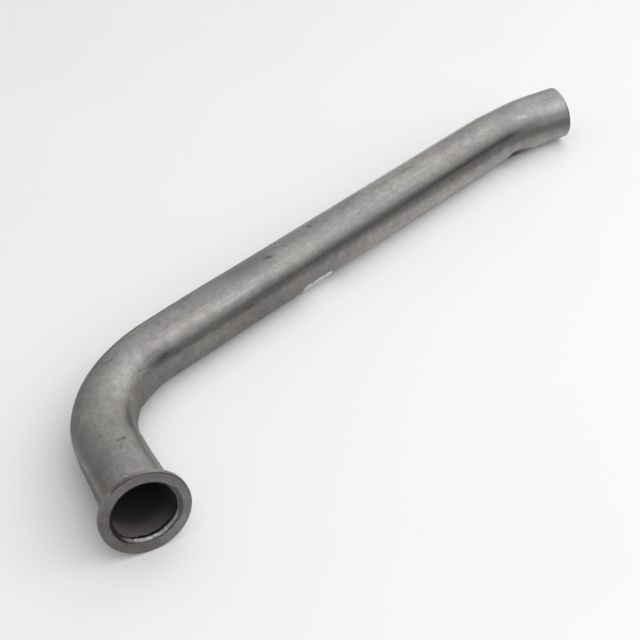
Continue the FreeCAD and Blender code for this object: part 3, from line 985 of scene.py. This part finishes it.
class DOWNPIPE_OT_weld(bpy.types.Operator):
    """Lay the inside weld as a rippled bead over the end of the tube"""

    bl_idname = "downpipe.weld"
    bl_label = "Inside weld"

    def execute(self, context):
        weld = context.scene.downpipe.weld
        tube = context.scene.downpipe.tube
        ring = context.scene.downpipe.ring
        inside = tube.outside - tube.wall
        across = np.linspace(0.0, 1.0, 26)
        around = np.linspace(0.0, math.tau, 480, endpoint=False)
        grid_t, grid_a = np.meshgrid(across, around, indexing="ij")
        degrees = np.degrees(grid_a)
        live = window(degrees, *LIVE_WELD)
        thick = window(degrees, *THICK_WELD)
        sway = wander(grid_a, 3, 14, 5) * (0.15 + 0.85 * live)
        # The section runs from its lip on the bore, over its crown, to its toe in the tube.
        lip_r = ring.bore + BURIED
        lip_y = weld.lip + 0.18 * MM * wander(grid_a, 5, 18, 7) * live
        toe_r = inside + BURIED
        toe_y = tube.recess + weld.toe + MM * (0.45 * sway + 0.9 * live + 1.3 * thick)
        bend_r = 2.0 * (inside - weld.cover) - 0.5 * (lip_r + toe_r)
        bend_y = 2.0 * (tube.recess - weld.cover + 1.4 * MM * thick) - 0.5 * (lip_y + toe_y)

        hump = np.sin(math.pi * grid_t)
        count = round(math.tau * inside / weld.pitch)
        phase = grid_a * count / math.tau - 0.55 * hump + 0.12 * sway
        crest = (0.5 + 0.5 * np.cos(math.tau * phase)) ** 0.6
        lift = weld.ripple * (crest - 0.5) + 0.2 * MM * wander(grid_a, 11, 16, 4)
        for place, height, spread in WELD_LUMPS:
            lift += height * MM * bell(degrees - place, spread)
        lift = (lift * live + 0.6 * MM * thick) * hump
        radius = arch(grid_t, lip_r, bend_r, toe_r) - 0.75 * lift
        depth = arch(grid_t, lip_y, bend_y, toe_y) - 0.6 * lift

        def whole(front, back):
            """Rows of the bead's front and of its two buried corners, in the order that faces out."""
            return np.concatenate([front, np.broadcast_to(back, (2, len(around)))])[::-1]

        all_r = whole(radius, [[toe_r], [lip_r]])
        all_y = whole(depth, tube.recess)
        all_a = whole(grid_a, around)
        mesh = grid_mesh("weld_ripples", flange_points(all_y, all_r, all_a))
        write_vector(mesh, "laid", all_y, inside * np.cos(all_a), inside * np.sin(all_a))
        # Burnt toes, and painted shade: outside the lit stretch the whole bead is as dark as the toes.
        burnt_and_shaded = whole(1.0 - smooth(hump, 0.05, 0.35) * window(degrees, *LIT_WELD), 1.0)
        valley = whole((1.0 - crest) * hump, 0.0)
        # Painted shade: the upper half of the bead is duller and darker.
        dull = whole(1.0 - smooth(degrees, 198.0, 216.0), 0.0)
        write_masks(mesh, "scorch_and_shade", burnt_and_shaded, valley, dull)
        add_piece(mesh, weld_metal(weld), "weld_bead", 60.0)
        return {"FINISHED"}


class DOWNPIPE_OT_label(bpy.types.Operator):
    """Wrap the bare label round the underside of the run, with its torn upper edge"""

    bl_idname = "downpipe.label"
    bl_label = "Bare label"

    def execute(self, context):
        label = context.scene.downpipe.label
        tube = context.scene.downpipe.tube
        along = np.linspace(0.0, 1.0, 85)
        across = np.linspace(0.0, 1.0, 41)
        grid_x, grid_w = np.meshgrid(along, across, indexing="ij")
        # Degrees torn off the upper edge: fine tears, a notch, a step and the two corners.
        torn = 1.4 + 0.7 * np.abs(wander(along * math.tau, 41, 18, 3))
        torn += 7.0 * window(along, 0.26, 0.28, 0.31, 0.33) + smooth(along, 0.3, 0.33)
        torn += 9.0 * smooth(along, 0.8, 1.0) ** 2 + 5.0 * (1.0 - smooth(along, 0.0, 0.06))
        upper = label.top + np.radians(torn)[:, None]
        turn = upper + grid_w * (label.top + label.wrap - upper)
        curl = 0.1 * MM * bell(grid_w, 0.06) * (0.4 + 0.6 * np.abs(wander(grid_x * 6.28, 43, 9, 2)))
        reach = tube.outside + label.thickness + curl
        x = elbow_out(tube) + label.start + grid_x * label.length
        centre = centre_line(tube, x.ravel())[0].reshape(*x.shape, 3)
        spoke = np.stack([np.zeros_like(turn), -np.cos(turn), -np.sin(turn)], axis=-1)
        points = centre + reach[..., None] * spoke
        mesh = grid_mesh("label_sheet", points, closed=False)
        write_vector(mesh, "laid", x, turn * tube.outside, 0.0)
        edge = bell(grid_w, 0.03)
        dirt = bell(np.minimum(grid_x, 1.0 - grid_x), 0.12)
        write_masks(mesh, "wear", edge, dirt, 0.0)
        piece = add_piece(mesh, label_film(label), "blank_label")
        shell = piece.modifiers.new("film", "SOLIDIFY")
        shell.thickness = label.thickness
        shell.offset = -1.0
        return {"FINISHED"}


def aim(place, target, roll=0.0):
    """Turn that looks from a place at a target, with its own right side tipped up by roll."""
    ahead = (target - place).normalized()
    right = ahead.cross(Vector((0.0, 0.0, 1.0))).normalized()
    above = right.cross(ahead)
    tipped = right * math.cos(roll) + above * math.sin(roll)
    upward = tipped.cross(ahead)
    turn = Matrix((tipped, upward, -ahead)).transposed().to_4x4()
    return Matrix.Translation(place) @ turn


def soft_light(name, place, target, width, depth, power):
    """Large area light for the floor and the label; the steel mirrors the room instead."""
    data = bpy.data.lights.new(name, "AREA")
    data.shape = "RECTANGLE"
    data.size = width
    data.size_y = depth
    data.energy = power
    light = bpy.data.objects.new(name, data)
    light.matrix_world = aim(Vector(place), Vector(target))
    light.visible_glossy = False
    bpy.context.scene.collection.objects.link(light)


def studio_world():
    """Soft grey room with three broad glows, dark low at the front right.

    grey = low + (high - low) * height + the sum of amount * exp(sharpness * (direction . way - 1))
    over the glows, the last of them negative. The camera itself sees an even pale backdrop.
    """
    world = bpy.data.worlds.new("studio")
    world.use_nodes = True
    tree = world.node_tree
    tree.nodes.clear()
    way = tree.nodes.new("ShaderNodeTexCoord").outputs["Generated"]
    height = remap(tree, dot(tree, way, (0.0, 0.0, 1.0)), 0.15, 0.7)
    low = remap(tree, dot(tree, way, ROOM_RIGHT), -0.2, 0.6, 0.315, 0.46)
    grey = weighted(tree, low, (height, calc(tree, "SUBTRACT", ROOM_HIGH, low)))
    for direction, sharpness, amount in ROOM_GLOWS:
        near = product(tree, calc(tree, "SUBTRACT", dot(tree, way, direction), 1.0), sharpness)
        grey = weighted(tree, grey, (calc(tree, "EXPONENT", near), amount))
    room = tree.nodes.new("ShaderNodeBackground")
    feed(tree, calc(tree, "MAXIMUM", grey, ROOM_LEAST), room.inputs["Color"])
    backdrop = tree.nodes.new("ShaderNodeBackground")
    feed(tree, BACKDROP, backdrop.inputs["Color"])
    choose = tree.nodes.new("ShaderNodeMixShader")
    feed(tree, tree.nodes.new("ShaderNodeLightPath").outputs["Is Camera Ray"], choose.inputs[0])
    feed(tree, room.outputs[0], choose.inputs[1])
    feed(tree, backdrop.outputs[0], choose.inputs[2])
    out = tree.nodes.new("ShaderNodeOutputWorld")
    feed(tree, choose.outputs[0], out.inputs["Surface"])
    return world


class DOWNPIPE_OT_stage(bpy.types.Operator):
    """Set the pale floor, the soft studio light and the camera"""

    bl_idname = "downpipe.stage"
    bl_label = "Stage"

    def execute(self, context):
        scene = context.scene
        stage = scene.downpipe.stage
        turn = np.linspace(0.0, math.tau, 96, endpoint=False)
        rim = np.stack([np.cos(turn), np.sin(turn), turn * 0.0], axis=-1) * stage.floor_radius
        mesh = bpy.data.meshes.new("studio_floor")
        mesh.from_pydata(rim, [], [list(range(len(rim)))])
        mesh.materials.append(pale_floor(stage))
        floor = bpy.data.objects.new("studio_floor", mesh)
        scene.collection.objects.link(floor)

        soft_light("key_light", (1.25, -0.22, 1.14), (0.0, 0.0, 0.03), 2.2, 1.0, stage.key_power)
        soft_light("floor_light", (0.0, 0.0, 2.6), (0.0, 0.001, 0.0), 3.2, 3.2, stage.floor_power)
        soft_light("front_light", (0.3, -1.9, 1.3), (0.0, 0.0, 0.0), 3.6, 1.6, stage.front_power)
        scene.world = studio_world()
        scene.view_settings.view_transform = "Standard"

        lens = bpy.data.cameras.new("camera")
        lens.lens = stage.lens
        lens.sensor_width = SENSOR_WIDTH
        camera = bpy.data.objects.new("camera", lens)
        camera.matrix_world = aim(Vector(stage.eye), Vector(stage.target), stage.roll)
        scene.collection.objects.link(camera)
        scene.camera = camera
        return {"FINISHED"}


class DOWNPIPE_PT_panel(bpy.types.Panel):
    """Sidebar panel that lists the downpipe's pieces and its stage"""

    bl_idname = "DOWNPIPE_PT_panel"
    bl_label = "Exhaust downpipe"
    bl_space_type = "VIEW_3D"
    bl_region_type = "UI"
    bl_category = "Downpipe"

    def draw(self, context):
        for operator in OPERATORS:
            self.layout.operator(operator.bl_idname)


OPERATORS = (DOWNPIPE_OT_tube, DOWNPIPE_OT_ring, DOWNPIPE_OT_weld, DOWNPIPE_OT_label, DOWNPIPE_OT_stage)
CLASSES = (TubeSettings, RingSettings, WeldSettings, LabelSettings, StageSettings, DownpipeSettings,
           *OPERATORS, DOWNPIPE_PT_panel)


def register():
    for item in CLASSES:
        bpy.utils.register_class(item)
    bpy.types.Scene.downpipe = PointerProperty(type=DownpipeSettings)


def unregister():
    del bpy.types.Scene.downpipe
    for item in reversed(CLASSES):
        bpy.utils.unregister_class(item)


def main():
    """Build every piece in order."""
    register()
    bpy.ops.downpipe.tube()
    bpy.ops.downpipe.ring()
    bpy.ops.downpipe.weld()
    bpy.ops.downpipe.label()
    bpy.ops.downpipe.stage()


if __name__ == "__main__":
    main()
